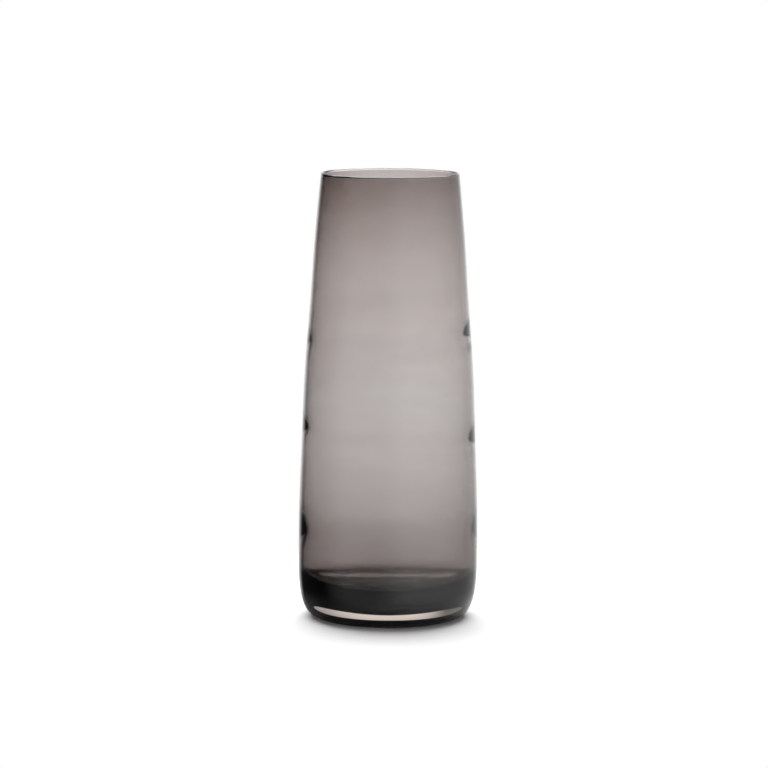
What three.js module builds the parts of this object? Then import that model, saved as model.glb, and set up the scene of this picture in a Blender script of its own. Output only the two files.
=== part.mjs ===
// Tapered glass cylinder vase, blown as two layers of glass that are fused in the making:
// a clear casing, which also forms the thick clear foot, and a smoke-grey lining inside it.
// Millimetres, +Z up, origin at the centre of the foot, on the surface that it stands on.

import * as THREE from 'three';

// Outer form.
const HEIGHT = 300;
const MOUTH_RADIUS = 46.4; // outside of the lip
const BELLY_RADIUS = 60.5; // the widest ring
const TAPER_POWER = 1.72; // the higher it is, the later the wall turns inwards

// The soft wave that blowing leaves in the upper wall.
const WAVE_DEPTH = 0.31;
const WAVE_LENGTH = 106;
const WAVE_HEIGHT = 189;
const WAVE_SPREAD = 57;

// The three rounded bottoms, from a level part of radius flat, at height floor, up to the wall
// at height shoulder. A power of 2 curls as an ellipse, and a higher power is squarer.
const HEEL = { floor: 0, flat: 43.5, shoulder: 43, power: 3 };
const SMOKE_UNDERSIDE = { floor: 9.9, flat: 8, shoulder: 24, power: 1.9 };
const CAVITY_BOTTOM = { floor: 18, flat: 20, shoulder: 42, power: 3.2 };

// Wall thicknesses. The smoke layer is stretched thinnest at the waist.
const WAIST_HEIGHT = 170;
const SMOKE_AT_LIP = 1.6;
const SMOKE_AT_WAIST = 0.65;
const SMOKE_AT_SHOULDER = 1.5;
const CASING_AT_LIP = 0.3;
const CASING_AT_WAIST = 1.15; // and below it
const LIP_POWER = 2.5; // how late the layers change on the way up to the lip
const SHOULDER_POWER = 3; // the same on the way down to the shoulder
const LAYER_GAP = 0.1; // holds the two solids apart where the real layers are fused

// The fire-polished lip is half a circle in section.
const LIP_ROUND = (CASING_AT_LIP + SMOKE_AT_LIP) / 2;
const LIP_HEIGHT = HEIGHT - LIP_ROUND;
const LIP_CENTRE_RADIUS = MOUTH_RADIUS - LIP_ROUND;
const LIP_CROWN = Math.PI / 2; // angle of the highest ring, from 0 facing out
const LIP_INSIDE = Math.PI;

// Facets.
const TURN_STEPS = 64;
const WALL_STEPS = 10;
const CURL_STEPS = 6;
const LIP_STEPS = 2;

const CLEAR_GLASS = { color: 0xe9eeee, roughness: 0.04, metalness: 0, opacity: 0.35 };
const SMOKE_GLASS = { color: 0x6b6463, roughness: 0.04, metalness: 0, opacity: 0.55 };

/** Outer radius of the wall at a height. Beside the heel it is the belly's. */
function outerRadius(z) {
  const rise = Math.max(0, z - HEEL.shoulder) / (LIP_HEIGHT - HEEL.shoulder);
  const fromWave = (z - WAVE_HEIGHT) / WAVE_SPREAD;
  const swing = Math.sin((2 * Math.PI * (WAVE_HEIGHT - z)) / WAVE_LENGTH);
  const wave = WAVE_DEPTH * swing * Math.exp(-0.5 * fromWave ** 2);
  return BELLY_RADIUS - (BELLY_RADIUS - MOUTH_RADIUS) * rise ** TAPER_POWER + wave;
}

/** Share of the way from the waist up to the lip, 0 below the waist. */
function towardsLip(z) {
  return Math.max(0, (z - WAIST_HEIGHT) / (LIP_HEIGHT - WAIST_HEIGHT)) ** LIP_POWER;
}

/** Share of the way from the waist down to the cavity's shoulder, 0 above the waist. */
function towardsShoulder(z) {
  const drop = (WAIST_HEIGHT - z) / (WAIST_HEIGHT - CAVITY_BOTTOM.shoulder);
  return Math.max(0, drop) ** SHOULDER_POWER;
}

/** Radius where the clear casing meets the smoke lining. */
function layerRadius(z) {
  const casing = CASING_AT_WAIST + (CASING_AT_LIP - CASING_AT_WAIST) * towardsLip(z);
  return outerRadius(z) - casing;
}

/** Outer radius of the smoke lining, a hair inside the casing. */
function liningRadius(z) {
  return layerRadius(z) - LAYER_GAP;
}

/** Radius of the hollow that holds the stems. */
function cavityRadius(z) {
  const smoke = SMOKE_AT_WAIST
    + (SMOKE_AT_LIP - SMOKE_AT_WAIST) * towardsLip(z)
    + (SMOKE_AT_SHOULDER - SMOKE_AT_WAIST) * towardsShoulder(z);
  return layerRadius(z) - smoke;
}

/** Half section of one glass surface, from the axis along its bottom and up its wall. */
function bowl(bottom, wallRadius, lift = 0) {
  const { floor, flat, shoulder, power } = bottom;
  const points = [new THREE.Vector2(0, floor + lift)];
  const curlWidth = wallRadius(shoulder) - flat;
  const curlHeight = shoulder - floor - lift;
  for (let i = 0; i <= CURL_STEPS; i += 1) {
    const angle = (Math.PI / 2) * (i / CURL_STEPS);
    const out = Math.sin(angle) ** (2 / power);
    const down = Math.cos(angle) ** (2 / power);
    points.push(new THREE.Vector2(flat + curlWidth * out, shoulder - curlHeight * down));
  }
  for (let i = 1; i <= WALL_STEPS; i += 1) {
    const z = shoulder + (LIP_HEIGHT - shoulder) * (i / WALL_STEPS);
    points.push(new THREE.Vector2(wallRadius(z), z));
  }
  return points;
}

/** Points over the lip, from just after one angle up to the other. */
function lipArc(from, to) {
  const points = [];
  for (let i = 1; i <= LIP_STEPS; i += 1) {
    const angle = from + (to - from) * (i / LIP_STEPS);
    const radius = LIP_CENTRE_RADIUS + LIP_ROUND * Math.cos(angle);
    points.push(new THREE.Vector2(radius, LIP_HEIGHT + LIP_ROUND * Math.sin(angle)));
  }
  return points;
}

/** Angle on the lip at which a surface of the given radius comes out. */
function lipAngle(radius) {
  return Math.acos((radius - LIP_CENTRE_RADIUS) / LIP_ROUND);
}

/** One layer of glass, turned about +Z. */
function turnedGlass(name, profile, glass) {
  const geometry = new THREE.LatheGeometry(profile, TURN_STEPS);
  geometry.rotateX(Math.PI / 2);
  const material = new THREE.MeshStandardMaterial({ ...glass, transparent: true });
  const mesh = new THREE.Mesh(geometry, material);
  mesh.name = name;
  return mesh;
}

/** Clear outer layer: the foot, the heel and the outside of the wall and lip. */
function clearCasing() {
  const topAngle = lipAngle(layerRadius(LIP_HEIGHT));
  const outside = bowl(HEEL, outerRadius);
  const inside = bowl(SMOKE_UNDERSIDE, layerRadius);
  inside.pop();
  const profile = [...outside, ...lipArc(0, topAngle), ...inside.reverse()];
  return turnedGlass('clear_casing', profile, CLEAR_GLASS);
}

/** Smoke-grey inner layer: the hollow's wall and floor, and the crown of the lip. */
function smokeLining() {
  const topAngle = lipAngle(liningRadius(LIP_HEIGHT));
  const outside = bowl(SMOKE_UNDERSIDE, liningRadius, LAYER_GAP);
  const inside = bowl(CAVITY_BOTTOM, cavityRadius);
  outside.at(-1).y += LIP_ROUND * Math.sin(topAngle);
  inside.pop();
  const lip = [...lipArc(topAngle, LIP_CROWN), ...lipArc(LIP_CROWN, LIP_INSIDE)];
  const profile = [...outside, ...lip, ...inside.reverse()];
  return turnedGlass('smoke_lining', profile, SMOKE_GLASS);
}

const vase = new THREE.Group();
vase.add(clearCasing(), smokeLining());

export default vase;
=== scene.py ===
"""Looks of a tapered vase of clear glass cased over a smoke-grey lining.

Metres, +Z up, origin at the centre of the foot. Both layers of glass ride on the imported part's one
body. The clear glass is one closed skin, up the outside, over the lip and down into the hollow. The
smoke lies inside that skin: the two layers are fused, so the smoke takes light away but bends none.
The studio has one look to the eye, which sees plain white, and another to the glass, which sees a
room with a bright back, a soft light on the right and a dark left side.
"""

import logging
import math
from collections.abc import Callable
from dataclasses import dataclass, replace
from enum import Enum

import bmesh
import bpy
from mathutils import Matrix, Vector, noise


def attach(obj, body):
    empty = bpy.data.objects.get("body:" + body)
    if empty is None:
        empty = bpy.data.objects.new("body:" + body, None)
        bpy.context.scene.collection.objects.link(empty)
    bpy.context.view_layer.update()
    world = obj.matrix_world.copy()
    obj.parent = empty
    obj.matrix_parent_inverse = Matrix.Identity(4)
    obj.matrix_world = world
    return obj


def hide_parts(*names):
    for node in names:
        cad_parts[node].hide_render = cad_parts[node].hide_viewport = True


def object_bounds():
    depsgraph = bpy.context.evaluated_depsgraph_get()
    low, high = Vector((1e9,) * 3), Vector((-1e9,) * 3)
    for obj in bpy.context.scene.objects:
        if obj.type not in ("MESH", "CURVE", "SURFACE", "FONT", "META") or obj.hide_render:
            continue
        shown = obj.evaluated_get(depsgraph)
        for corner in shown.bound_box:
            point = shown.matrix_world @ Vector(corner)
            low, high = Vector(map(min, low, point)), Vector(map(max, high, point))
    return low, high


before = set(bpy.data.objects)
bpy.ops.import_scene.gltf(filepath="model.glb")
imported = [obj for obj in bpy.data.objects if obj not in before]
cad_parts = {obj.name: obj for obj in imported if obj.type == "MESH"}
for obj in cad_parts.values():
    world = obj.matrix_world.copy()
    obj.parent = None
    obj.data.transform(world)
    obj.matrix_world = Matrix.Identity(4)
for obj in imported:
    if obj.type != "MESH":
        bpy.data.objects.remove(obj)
CAD_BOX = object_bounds()

LOG = logging.getLogger("vase")
MM = 0.001
WHITE = "ffffff"
POINT = 0.01 * MM  # radius of the level part of a bottom that is round from the axis on

Point = tuple[float, float, float]
Colour = tuple[float, float, float, float]
Source = bpy.types.NodeSocket | float | Colour | Point


class Layer(Enum):
    """The CAD nodes, which are the vase's two layers of glass."""

    CASING = "clear_casing"
    LINING = "smoke_lining"


class Slot(Enum):
    """The record's material slots."""

    CLEAR = "clear_glass"
    SMOKE = "smoke_glass"


def linear(hex_code: str) -> Colour:
    """Turns an sRGB hex colour into a linear one, by the sRGB standard's curve.

    Args:
        hex_code: Six hex digits, such as "c8c4c0".

    Returns:
        Red, green, blue and an alpha of 1, all linear.
    """
    parts = []
    for start in (0, 2, 4):
        value = int(hex_code[start : start + 2], 16) / 255
        parts.append(value / 12.92 if value <= 0.04045 else ((value + 0.055) / 1.055) ** 2.4)
    return (parts[0], parts[1], parts[2], 1.0)


def add_node(
    tree: bpy.types.NodeTree,
    kind: str,
    inputs: dict[str | int, Source] | None = None,
    **settings: str | bool,
) -> bpy.types.Node:
    """Adds one node with its settings and links.

    Args:
        tree: The node tree that gets the node.
        kind: The node's type name, such as "ShaderNodeTexNoise".
        inputs: For an input's name or index, the socket or plain value that feeds it.
        **settings: Attributes of the node itself.

    Returns:
        The new node.
    """
    node = tree.nodes.new(kind)
    for name, value in settings.items():
        setattr(node, name, value)
    for key, source in (inputs or {}).items():
        if isinstance(source, bpy.types.NodeSocket):
            tree.links.new(source, node.inputs[key])
        else:
            node.inputs[key].default_value = source
    return node


def new_material(name: str) -> tuple[bpy.types.Material, bpy.types.NodeTree]:
    """Makes an empty node material.

    Args:
        name: The material's name.

    Returns:
        The material and its node tree.
    """
    material = bpy.data.materials.new(name)
    material.use_nodes = True
    material.node_tree.nodes.clear()
    return material, material.node_tree


def bell(away: float) -> float:
    """Height of a bell curve, which is 1 in the middle, at a distance given in spreads."""
    return math.exp(-0.5 * away**2)


@dataclass(frozen=True)
class Curl:
    """A rounded bottom, from a level part up to the wall, as a superellipse."""

    floor: float  # height of the level part
    flat: float  # radius of the level part
    shoulder: float  # height where it meets the wall
    power: float  # 2 is an ellipse, and more is squarer


@dataclass(frozen=True)
class Swell:
    """A soft ring where the clear wall is thicker inside, left by one gather of the blowing."""

    height: float
    depth: float
    spread: float  # of the bell curve that is its section
    tilt: float  # how much higher it runs on the +X side than in the middle
    uneven: float  # share by which it is deeper on the +X side than in the middle


class Skin(Enum):
    """The surfaces of the two layers, from the outside in."""

    OUTSIDE = "true to the axis"
    BETWEEN = "follows the swells"
    HOLLOW = "follows the swells, leans, and has marks in its floor"


@dataclass(frozen=True)
class Ring:
    """One round of a turned surface."""

    radius: float
    height: float
    skin: Skin


@dataclass(frozen=True)
class VaseForm:
    """Shape of the vase's glass surfaces at any height, around its axis."""

    height: float
    belly_radius: float = 60.49 * MM
    mouth_radius: float = 46.4 * MM
    taper_power: float = 1.72  # 1 is a straight cone
    wave_depth: float = 0.31 * MM
    wave_length: float = 106 * MM
    wave_height: float = 189 * MM  # of its middle
    wave_spread: float = 57 * MM  # how far it reaches up and down from there
    heel: Curl = Curl(0.0, 43.5 * MM, 43 * MM, 3.0)
    underside: Curl = Curl(9.9 * MM, POINT, 24 * MM, 1.85)
    hollow: Curl = Curl(18 * MM, POINT, 42 * MM, 4.0)
    waist_height: float = 170 * MM  # where the smoke is thinnest
    smoke_lip: float = 1.75 * MM
    smoke_waist: float = 0.62 * MM
    smoke_shoulder: float = 1.5 * MM
    casing_lip: float = 0.15 * MM
    casing_waist: float = 1.15 * MM  # and below it
    lip_power: float = 3.5  # more keeps the change nearer to the lip
    shoulder_power: float = 3.0  # more keeps the change nearer to the shoulder
    swells: tuple[Swell, ...] = (
        Swell(187 * MM, 1.2 * MM, 5.5 * MM, 3 * MM, 0.2),
        Swell(122 * MM, 1.2 * MM, 6 * MM, -3.5 * MM, 0.1),
        Swell(54 * MM, 1.4 * MM, 9 * MM, 0.0, -0.2),
    )
    lean_waist: float = 0.08 * MM  # towards +X
    lean_lip: float = 0.2 * MM  # towards +X
    lean_back: float = 0.4 * MM  # towards +Y, at the lip
    chill_depth: float = 0.8 * MM  # of the marks in the hollow's floor
    chill_width: float = 14 * MM
    chill_edge: int = 12  # more keeps the marks whole nearer to the wall

    @property
    def lip_round(self) -> float:
        """Radius of the fire-polished lip's section."""
        return (self.casing_lip + self.smoke_lip) / 2

    @property
    def lip_height(self) -> float:
        """Height where the wall ends and the lip's rounding begins."""
        return self.height - self.lip_round

    def outer(self, z: float) -> float:
        """Gives the outer radius of the wall, which tapers up with one faint wave.

        Args:
            z: Height.

        Returns:
            The radius.
        """
        rise = max(0.0, z - self.heel.shoulder) / (self.lip_height - self.heel.shoulder)
        taper = (self.belly_radius - self.mouth_radius) * rise**self.taper_power
        swing = math.sin(math.tau * (self.wave_height - z) / self.wave_length)
        wave = self.wave_depth * swing * bell((z - self.wave_height) / self.wave_spread)
        return self.belly_radius - taper + wave

    def towards_lip(self, z: float) -> float:
        """Share of the way from the waist up to the lip."""
        climb = (z - self.waist_height) / (self.lip_height - self.waist_height)
        return max(0.0, climb) ** self.lip_power

    def towards_shoulder(self, z: float) -> float:
        """Share of the way from the waist down to the hollow's shoulder."""
        drop = (self.waist_height - z) / (self.waist_height - self.hollow.shoulder)
        return max(0.0, drop) ** self.shoulder_power

    def between(self, z: float) -> float:
        """Radius at height z where clear and smoke glass meet, away from any swell."""
        thinner = (self.casing_waist - self.casing_lip) * self.towards_lip(z)
        return self.outer(z) - self.casing_waist + thinner

    def cavity(self, z: float) -> float:
        """Gives the radius of the hollow, away from any swell.

        Args:
            z: Height.

        Returns:
            The radius.
        """
        smoke = self.smoke_waist
        smoke += (self.smoke_lip - self.smoke_waist) * self.towards_lip(z)
        smoke += (self.smoke_shoulder - self.smoke_waist) * self.towards_shoulder(z)
        return self.between(z) - smoke

    def lean(self, z: float) -> tuple[float, float]:
        """Gives how far the hollow is off the axis, because the gather was never quite even.

        Args:
            z: Height.

        Returns:
            The distances along X and Y.
        """
        climb = (z - self.hollow.shoulder) / (self.waist_height - self.hollow.shoulder)
        across = self.lean_waist * min(1.0, max(0.0, climb))
        across += (self.lean_lip - self.lean_waist) * self.towards_lip(z)
        return (across, self.lean_back * self.towards_lip(z))

    def swelling(self, z: float, angle: float) -> float:
        """Gives how much thicker the swells make the wall.

        Args:
            z: Height.
            angle: Angle round the axis, from +X.

        Returns:
            The extra thickness.
        """
        side = math.cos(angle)
        total = 0.0
        for swell in self.swells:
            away = (z - swell.height - swell.tilt * side) / swell.spread
            total += swell.depth * (1 + swell.uneven * side) * bell(away)
        return total

    def chill(self, x: float, y: float) -> float:
        """Gives the height of the uneven marks that cooling leaves in the hollow's floor.

        Args:
            x: Distance from the axis along X.
            y: Distance from the axis along Y.

        Returns:
            The height above the level floor, and 0 at the wall.
        """
        out = math.hypot(x, y) / self.cavity(self.hollow.shoulder)
        marks = noise.noise(Vector((x, y, 0.0)) / self.chill_width)
        return self.chill_depth * marks * max(0.0, 1 - out**self.chill_edge)

    def spot(self, ring: Ring, angle: float) -> Point:
        """Gives one point of a ring.

        Args:
            ring: The ring.
            angle: Angle round the axis, from +X.

        Returns:
            The point.
        """
        radius = ring.radius
        if ring.skin is not Skin.OUTSIDE:
            radius -= self.swelling(ring.height, angle)
        x = radius * math.cos(angle)
        y = radius * math.sin(angle)
        if ring.skin is not Skin.HOLLOW:
            return (x, y, ring.height)
        lift = self.chill(x, y) if ring.height < self.hollow.shoulder else 0.0
        across, back = self.lean(ring.height)
        return (x + across, y + back, ring.height + lift)


@dataclass(frozen=True)
class Steps:
    """How finely each stretch of a half section is divided."""

    level: int = 2  # the level part of the bottom
    curl: int = 80  # the rounding up to the wall
    wall: int = 200
    lip: int = 20
    turns: int = 192  # round the axis


def bowl(
    curl: Curl,
    wall: Callable[[float], float],
    top: float,
    skin: Skin,
    steps: Steps,
) -> list[Ring]:
    """Gives one glass surface, from the axis along its bottom and up its wall.

    Args:
        curl: The rounded bottom.
        wall: Radius of the wall at a height.
        top: Height where the wall ends.
        skin: Which surface it is.
        steps: How finely it is divided.

    Returns:
        Its rings, the first of them a point on the axis.
    """
    rings = [Ring(curl.flat * i / steps.level, curl.floor, skin) for i in range(steps.level)]
    width = wall(curl.shoulder) - curl.flat
    depth = curl.shoulder - curl.floor
    for i in range(steps.curl + 1):
        angle = math.pi / 2 * i / steps.curl
        out = math.sin(angle) ** (2 / curl.power)
        down = max(0.0, math.cos(angle)) ** (2 / curl.power)
        rings.append(Ring(curl.flat + width * out, curl.shoulder - depth * down, skin))
    for i in range(1, steps.wall + 1):
        z = curl.shoulder + (top - curl.shoulder) * i / steps.wall
        rings.append(Ring(wall(z), z, skin))
    return rings


def turned_object(name: str, rings: list[Ring], form: VaseForm, turns: int) -> bpy.types.Object:
    """Turns rings about the axis into one closed, smooth mesh.

    Args:
        name: The object's name.
        rings: The first and last are points on the axis.
        form: The vase's form, which places each point of a ring.
        turns: Steps round the axis.

    Returns:
        The new object, linked to the scene.
    """
    mesh = bmesh.new()
    loops = []
    for ring in rings:
        count = turns if ring.radius > 0 else 1
        loops.append([mesh.verts.new(form.spot(ring, math.tau * i / turns)) for i in range(count)])
    for low, high in zip(loops, loops[1:]):
        for i in range(turns):
            below = [low[i % len(low)], low[(i + 1) % len(low)]]
            above = [high[(i + 1) % len(high)], high[i % len(high)]]
            corners = dict.fromkeys(below + above)  # a point on the axis is there only once
            mesh.faces.new(list(corners)).smooth = True
    bmesh.ops.recalc_face_normals(mesh, faces=mesh.faces)
    data = bpy.data.meshes.new(name)
    mesh.to_mesh(data)
    mesh.free()
    piece = bpy.data.objects.new(name, data)
    bpy.context.scene.collection.objects.link(piece)
    return piece


@dataclass(frozen=True)
class ClearBlownGlass:
    """Soda-lime glass, blown and fire-polished.

    Its skin is smooth, with a long shallow roll from the blowing that bends what shows through it,
    and faint level bands that let a little less light through. It is clear at the foot, and a breath
    of smoke lies on it above, cool by the waist and warm by the lip. Its own body only colours what
    goes a long way through it, as in the foot.
    """

    clear: str = "fdfcfa"  # at the foot
    warm: str = "f1ebe9"  # by the lip
    cool: str = "f6f4f4"  # by the waist
    warm_height: float = 300 * MM  # where the warm tone has taken over from the cool one
    cool_height: float = 150 * MM
    tone_reach: float = 0.5  # how far the height shifts the patches of the two tones
    patch_detail: float = 2.0
    veil_bottom: float = 10 * MM  # the breath of smoke comes in from here
    veil_top: float = 30 * MM  # and is whole from here up
    ior: float = 1.52
    deep_tint: str = "e88900"  # what a long way through the foot lets by
    deep_density: float = 2.4  # per metre
    band_width: float = 160 * MM
    band_height: float = 17 * MM
    band_detail: float = 2.0
    band_span: tuple[float, float] = (0.35, 0.6)  # noise values of a full band and of none
    band_depth: float = 0.03  # share of the light that a full band takes
    roll_width: float = 60 * MM
    roll_height: float = 9 * MM
    roll_detail: float = 1.0
    roll_depth: float = 0.02 * MM

    def material(self) -> bpy.types.Material:
        """Makes the material.

        Returns:
            The material.
        """
        material, tree = new_material("clear_blown_soda_lime_glass")
        place = add_node(tree, "ShaderNodeTexCoord").outputs["Object"]
        split = add_node(tree, "ShaderNodeSeparateXYZ", {"Vector": place})
        patches = add_node(tree, "ShaderNodeTexNoise", {
            "Vector": place,
            "Scale": 1 / self.roll_width,
            "Detail": self.patch_detail,
        })
        climb = add_node(tree, "ShaderNodeMapRange", {
            "Value": split.outputs["Z"],
            "From Min": self.cool_height,
            "From Max": self.warm_height,
            "To Min": -self.tone_reach,
            "To Max": self.tone_reach,
        })
        warmth = add_node(tree, "ShaderNodeMath", {
            0: climb.outputs["Result"],
            1: patches.outputs["Fac"],
        }, operation="ADD", use_clamp=True)
        smoky = add_node(tree, "ShaderNodeMix", {
            "Factor": warmth.outputs["Value"],
            "A": linear(self.cool),
            "B": linear(self.warm),
        }, data_type="RGBA")
        veil = add_node(tree, "ShaderNodeMapRange", {
            "Value": split.outputs["Z"],
            "From Min": self.veil_bottom,
            "From Max": self.veil_top,
        }, interpolation_type="SMOOTHSTEP")
        tint = add_node(tree, "ShaderNodeMix", {
            "Factor": veil.outputs["Result"],
            "A": linear(self.clear),
            "B": smoky.outputs["Result"],
        }, data_type="RGBA")
        streaks = []
        for width, height, detail in (
            (self.band_width, self.band_height, self.band_detail),
            (self.roll_width, self.roll_height, self.roll_detail),
        ):
            flattened = add_node(tree, "ShaderNodeMapping", {
                "Vector": place,
                "Scale": (1 / width, 1 / width, 1 / height),
            })
            streaks.append(add_node(tree, "ShaderNodeTexNoise", {
                "Vector": flattened.outputs["Vector"],
                "Scale": 1.0,
                "Detail": detail,
            }))
        bands, roll = streaks
        lets_by = add_node(tree, "ShaderNodeMapRange", {
            "Value": bands.outputs["Fac"],
            "From Min": self.band_span[0],
            "From Max": self.band_span[1],
            "To Min": 1 - self.band_depth,
            "To Max": 1.0,
        })
        banded = add_node(tree, "ShaderNodeVectorMath", {
            0: tint.outputs["Result"],
            "Scale": lets_by.outputs["Result"],
        }, operation="SCALE")
        skin = add_node(tree, "ShaderNodeBump", {
            "Height": roll.outputs["Fac"],
            "Distance": self.roll_depth,
        })
        shader = add_node(tree, "ShaderNodeBsdfPrincipled", {
            "Base Color": banded.outputs["Vector"],
            "Roughness": 0.0,
            "IOR": self.ior,
            "Transmission Weight": 1.0,
            "Normal": skin.outputs["Normal"],
        })
        depth = add_node(tree, "ShaderNodeVolumeAbsorption", {
            "Color": linear(self.deep_tint),
            "Density": self.deep_density,
        })
        add_node(tree, "ShaderNodeOutputMaterial", {
            "Surface": shader.outputs["BSDF"],
            "Volume": depth.outputs["Volume"],
        })
        return material


@dataclass(frozen=True)
class SmokeOverlayGlass:
    """Smoke-grey glass, gathered first and cased in clear.

    It is fused to the clear on one side, so light goes straight through it and only loses strength
    with depth: pale grey where it is blown thin, and near black in the thick floor.
    """

    passes: str = "561a00"  # the share of each colour that gets by, the rest is taken
    density: float = 430.0  # per metre
    ior: float = 1.0  # counted from the clear glass round it
    warm: str = "fffdfc"
    cool: str = "f9fbfa"
    cloud_size: float = 45 * MM  # of the soft warm and cool patches
    cloud_detail: float = 3.0

    def material(self) -> bpy.types.Material:
        """Makes the material.

        Returns:
            The material.
        """
        material, tree = new_material("smoke_grey_overlay_glass")
        place = add_node(tree, "ShaderNodeTexCoord").outputs["Object"]
        clouds = add_node(tree, "ShaderNodeTexNoise", {
            "Vector": place,
            "Scale": 1 / self.cloud_size,
            "Detail": self.cloud_detail,
        })
        tone = add_node(tree, "ShaderNodeMix", {
            "Factor": clouds.outputs["Fac"],
            "A": linear(self.warm),
            "B": linear(self.cool),
        }, data_type="RGBA")
        shader = add_node(tree, "ShaderNodeBsdfPrincipled", {
            "Base Color": tone.outputs["Result"],
            "Roughness": 0.0,
            "IOR": self.ior,
            "Transmission Weight": 1.0,
        })
        smoke = add_node(tree, "ShaderNodeVolumeAbsorption", {
            "Color": linear(self.passes),
            "Density": self.density,
        })
        add_node(tree, "ShaderNodeOutputMaterial", {
            "Surface": shader.outputs["BSDF"],
            "Volume": smoke.outputs["Volume"],
        })
        return material


@dataclass(frozen=True)
class WhiteTable:
    """White paint, rolled matt, so that it has no shine and only shows the vase's soft shadow.

    To the eye its paint is brighter, so that it is overexposed. To the glass it is painted dimmer,
    with painted shade towards the left, and goes over into the sweep close round the foot.
    """

    eye_white: float = 0.9
    glass_white: float = 0.62
    glass_painted_shade: float = 0.12  # painted shade, for the dark left side of the room
    painted_shade_side: float = -70 * MM  # x where the painted shade is that dark
    white_side: float = 0 * MM  # x where it is white
    eye_fade: tuple[float, float] = (200 * MM, 300 * MM)  # radii where it goes over into the sweep
    glass_fade: tuple[float, float] = (50 * MM, 120 * MM)

    def material(self) -> bpy.types.Material:
        """Makes the material.

        Returns:
            The material.
        """
        material, tree = new_material("matt_white_table")
        eye = add_node(tree, "ShaderNodeLightPath").outputs["Is Camera Ray"]
        place = add_node(tree, "ShaderNodeTexCoord").outputs["Object"]
        split = add_node(tree, "ShaderNodeSeparateXYZ", {"Vector": place})
        # painted shade: to the glass the table is painted darker towards the left, where the room is
        # dark
        shade = add_node(tree, "ShaderNodeMapRange", {
            "Value": split.outputs["X"],
            "From Min": self.painted_shade_side,
            "From Max": self.white_side,
            "To Min": self.glass_painted_shade,
            "To Max": self.glass_white,
        }, interpolation_type="SMOOTHSTEP")
        white, start, end = (
            add_node(tree, "ShaderNodeMix", {
                "Factor": eye,
                "A": to_glass,
                "B": to_eye,
            }, data_type="FLOAT")
            for to_glass, to_eye in (
                (shade.outputs["Result"], self.eye_white),
                (self.glass_fade[0], self.eye_fade[0]),
                (self.glass_fade[1], self.eye_fade[1]),
            )
        )
        paint = add_node(tree, "ShaderNodeBsdfDiffuse", {"Color": white.outputs["Result"]})
        gone = add_node(tree, "ShaderNodeBsdfTransparent")
        radius = add_node(tree, "ShaderNodeVectorMath", {0: place}, operation="LENGTH")
        fade = add_node(tree, "ShaderNodeMapRange", {
            "Value": radius.outputs["Value"],
            "From Min": start.outputs["Result"],
            "From Max": end.outputs["Result"],
        }, interpolation_type="SMOOTHSTEP")
        both = add_node(tree, "ShaderNodeMixShader", {
            0: fade.outputs["Result"],
            1: paint.outputs["BSDF"],
            2: gone.outputs["BSDF"],
        })
        add_node(tree, "ShaderNodeOutputMaterial", {"Surface": both.outputs["Shader"]})
        return material


@dataclass(frozen=True)
class ClearCasing:
    """The clear glass: outside, foot, lip and the skin of the hollow."""

    form: VaseForm
    steps: Steps = Steps()
    finish: ClearBlownGlass = ClearBlownGlass()

    def lip(self) -> list[Ring]:
        """Rounds the fire-polished lip, from the outside in.

        Returns:
            Its rings, without the ones where it meets the wall.
        """
        form = self.form
        middle = form.outer(form.lip_height) - form.lip_round
        rings = []
        for i in range(1, self.steps.lip):
            angle = math.pi * i / self.steps.lip
            radius = middle + form.lip_round * math.cos(angle)
            height = form.lip_height + form.lip_round * math.sin(angle)
            rings.append(Ring(radius, height, Skin.OUTSIDE))
        return rings

    def build(self) -> bpy.types.Object:
        """Builds and dresses the casing.

        Returns:
            The new object.
        """
        form = self.form
        outside = bowl(form.heel, form.outer, form.lip_height, Skin.OUTSIDE, self.steps)
        inside = bowl(form.hollow, form.cavity, form.lip_height, Skin.HOLLOW, self.steps)
        rings = outside + self.lip() + inside[::-1]
        piece = turned_object("clear_casing_glass", rings, form, self.steps.turns)
        piece.data.materials.append(self.finish.material())
        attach(piece, "root")
        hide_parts(Layer.CASING.value)
        return piece


@dataclass(frozen=True)
class SmokeLining:
    """The smoke glass inside the clear: a bowl-shaped core in the foot, and a thin wall."""

    form: VaseForm
    steps: Steps = Steps()
    finish: SmokeOverlayGlass = SmokeOverlayGlass()
    film: float = 0.05 * MM  # of clear left towards the hollow, so that the surfaces stay apart
    below_lip: float = 0.2 * MM  # so that the clear goes over its top edge

    def build(self) -> bpy.types.Object:
        """Builds and dresses the lining.

        Returns:
            The new object.
        """
        form = self.form
        top = form.lip_height - self.below_lip
        outside = bowl(form.underside, form.between, top, Skin.BETWEEN, self.steps)
        hollow = replace(form.hollow, floor=form.hollow.floor - self.film)
        inside = bowl(hollow, lambda z: form.cavity(z) + self.film, top, Skin.HOLLOW, self.steps)
        piece = turned_object("smoke_lining_glass", outside + inside[::-1], form, self.steps.turns)
        piece.data.materials.append(self.finish.material())
        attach(piece, "root")
        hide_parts(Layer.LINING.value)
        return piece


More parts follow.
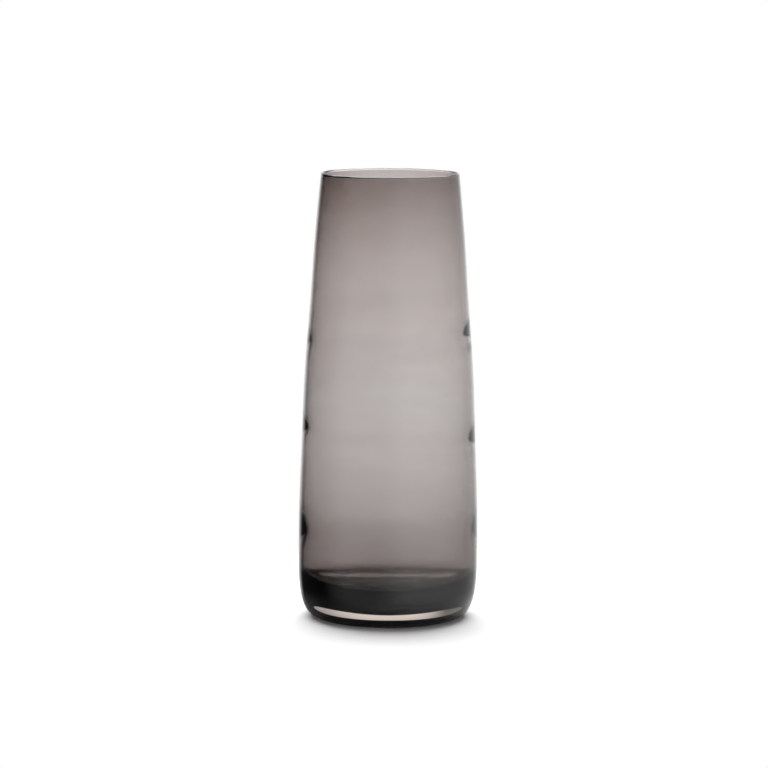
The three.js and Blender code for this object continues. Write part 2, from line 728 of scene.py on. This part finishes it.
@dataclass(frozen=True)
class Studio:
    """A white table before a bright sweep, with a soft light on the right and a dark left side."""

    distance: float = 2400 * MM
    pitch: float = math.radians(7.66)  # how far the camera looks down
    roll: float = math.radians(0.362)
    lens: float = 167.1  # as cameras count it, for a sensor 36 mm wide
    aim_right: float = -3.29 * MM
    aim_up: float = 7.66 * MM
    clip_end: float = 50.0
    bounces: int = 32  # enough for light to pass both walls and what it reflects between them
    white_light: float = 1.0  # of the back, and of the whole room to the eye
    left_light: tuple[float, float] = (0.45, 0.03)  # in front, behind
    left_turn: tuple[float, float] = (-0.6, 0.1)  # y of the way there, as it goes over between them
    right_light: tuple[float, float] = (1.1, 0.6)  # in front, behind
    right_turn: tuple[float, float] = (-0.5, 0.7)  # y of the way there
    side_turn: tuple[float, float] = (-0.3, 0.5)  # x of the way there, from the left to the right
    back_turn: tuple[float, float] = (0.8, 0.97)  # y of the way there, from the sides to the back
    top_turn: tuple[float, float] = (0.1, 0.35)  # z of the way there, from the walls to the top
    top_light: float = 0.3
    overhead: float = 5.4  # strength
    overhead_spread: float = math.radians(70)
    overhead_tilt: tuple[float, float] = (math.radians(-30), math.radians(-2))
    table: WhiteTable = WhiteTable()
    table_size: float = 700 * MM

    def sweep(self) -> None:
        """Sets the world: pure white to the eye, and to the glass bright behind and on the right."""
        scene = bpy.context.scene
        scene.world = bpy.data.worlds.new("studio_sweep")
        scene.world.use_nodes = True
        tree = scene.world.node_tree
        tree.nodes.clear()
        way = add_node(tree, "ShaderNodeTexCoord").outputs["Generated"]
        axis = add_node(tree, "ShaderNodeSeparateXYZ", {"Vector": way})
        left, right, side, behind, above = (
            add_node(tree, "ShaderNodeMapRange", {
                "Value": axis.outputs[along],
                "From Min": turn[0],
                "From Max": turn[1],
                "To Min": light[0],
                "To Max": light[1],
            }, interpolation_type="SMOOTHSTEP").outputs["Result"]
            for along, turn, light in (
                ("Y", self.left_turn, self.left_light),
                ("Y", self.right_turn, self.right_light),
                ("X", self.side_turn, (0.0, 1.0)),
                ("Y", self.back_turn, (0.0, 1.0)),
                ("Z", self.top_turn, (0.0, 1.0)),
            )
        )
        eye = add_node(tree, "ShaderNodeLightPath").outputs["Is Camera Ray"]
        strength = left
        for share, light in (
            (side, right),
            (behind, self.white_light),
            (above, self.top_light),
            (eye, self.white_light),
        ):
            strength = add_node(tree, "ShaderNodeMix", {
                "Factor": share,
                "A": strength,
                "B": light,
            }, data_type="FLOAT").outputs["Result"]
        glow = add_node(tree, "ShaderNodeBackground", {
            "Color": linear(WHITE),
            "Strength": strength,
        })
        add_node(tree, "ShaderNodeOutputWorld", {"Surface": glow.outputs["Background"]})

    def lamp(self) -> None:
        """Hangs the wide soft light over the table, a little behind the vase."""
        data = bpy.data.lights.new("overhead_soft_light", "SUN")
        data.energy = self.overhead
        data.angle = self.overhead_spread
        light = bpy.data.objects.new("overhead_soft_light", data)
        light.rotation_euler = (self.overhead_tilt[0], self.overhead_tilt[1], 0.0)
        bpy.context.scene.collection.objects.link(light)

    def floor(self) -> None:
        """Lays the table, whose edge fades into the sweep."""
        half = self.table_size / 2
        data = bpy.data.meshes.new("table")
        corners = [(-half, -half, 0.0), (half, -half, 0.0), (half, half, 0.0), (-half, half, 0.0)]
        data.from_pydata(corners, [], [(0, 1, 2, 3)])
        table = bpy.data.objects.new("table", data)
        bpy.context.scene.collection.objects.link(table)
        table.data.materials.append(self.table.material())

    def camera(self, target: Vector) -> None:
        """Sets up the camera.

        Args:
            target: The middle of the vase.
        """
        data = bpy.data.cameras.new("camera")
        data.lens = self.lens
        data.clip_end = self.clip_end
        camera = bpy.data.objects.new("camera", data)
        bpy.context.scene.collection.objects.link(camera)
        bpy.context.scene.camera = camera
        up = Vector((0, math.sin(self.pitch), math.cos(self.pitch)))
        eye = target - Vector((0, math.cos(self.pitch), -math.sin(self.pitch))) * self.distance
        aim = target + Vector((self.aim_right, 0, 0)) + up * self.aim_up
        turn = (aim - eye).to_track_quat("-Z", "Y").to_matrix().to_4x4()
        camera.matrix_world = Matrix.Translation(eye) @ turn @ Matrix.Rotation(self.roll, 4, "Z")

    def build(self, target: Vector) -> None:
        """Sets up everything round the vase.

        Args:
            target: The middle of the vase.
        """
        scene = bpy.context.scene
        scene.view_settings.view_transform = "Standard"
        scene.cycles.use_denoising = True
        scene.cycles.max_bounces = self.bounces
        scene.cycles.transmission_bounces = self.bounces
        scene.cycles.transparent_max_bounces = self.bounces
        self.sweep()
        self.lamp()
        self.floor()
        self.camera(target)


def main() -> None:
    """Builds the vase and its studio, and logs how many faces each layer has."""
    logging.basicConfig(level=logging.INFO)
    form = VaseForm(height=CAD_BOX[1].z)
    for part in (SmokeLining(form), ClearCasing(form)):
        piece = part.build()
        LOG.info("%s: %d faces", piece.name, len(piece.data.polygons))
    middle = (CAD_BOX[0] + CAD_BOX[1]) / 2
    Studio().build(Vector((0.0, 0.0, middle.z)))


if __name__ == "__main__":
    main()
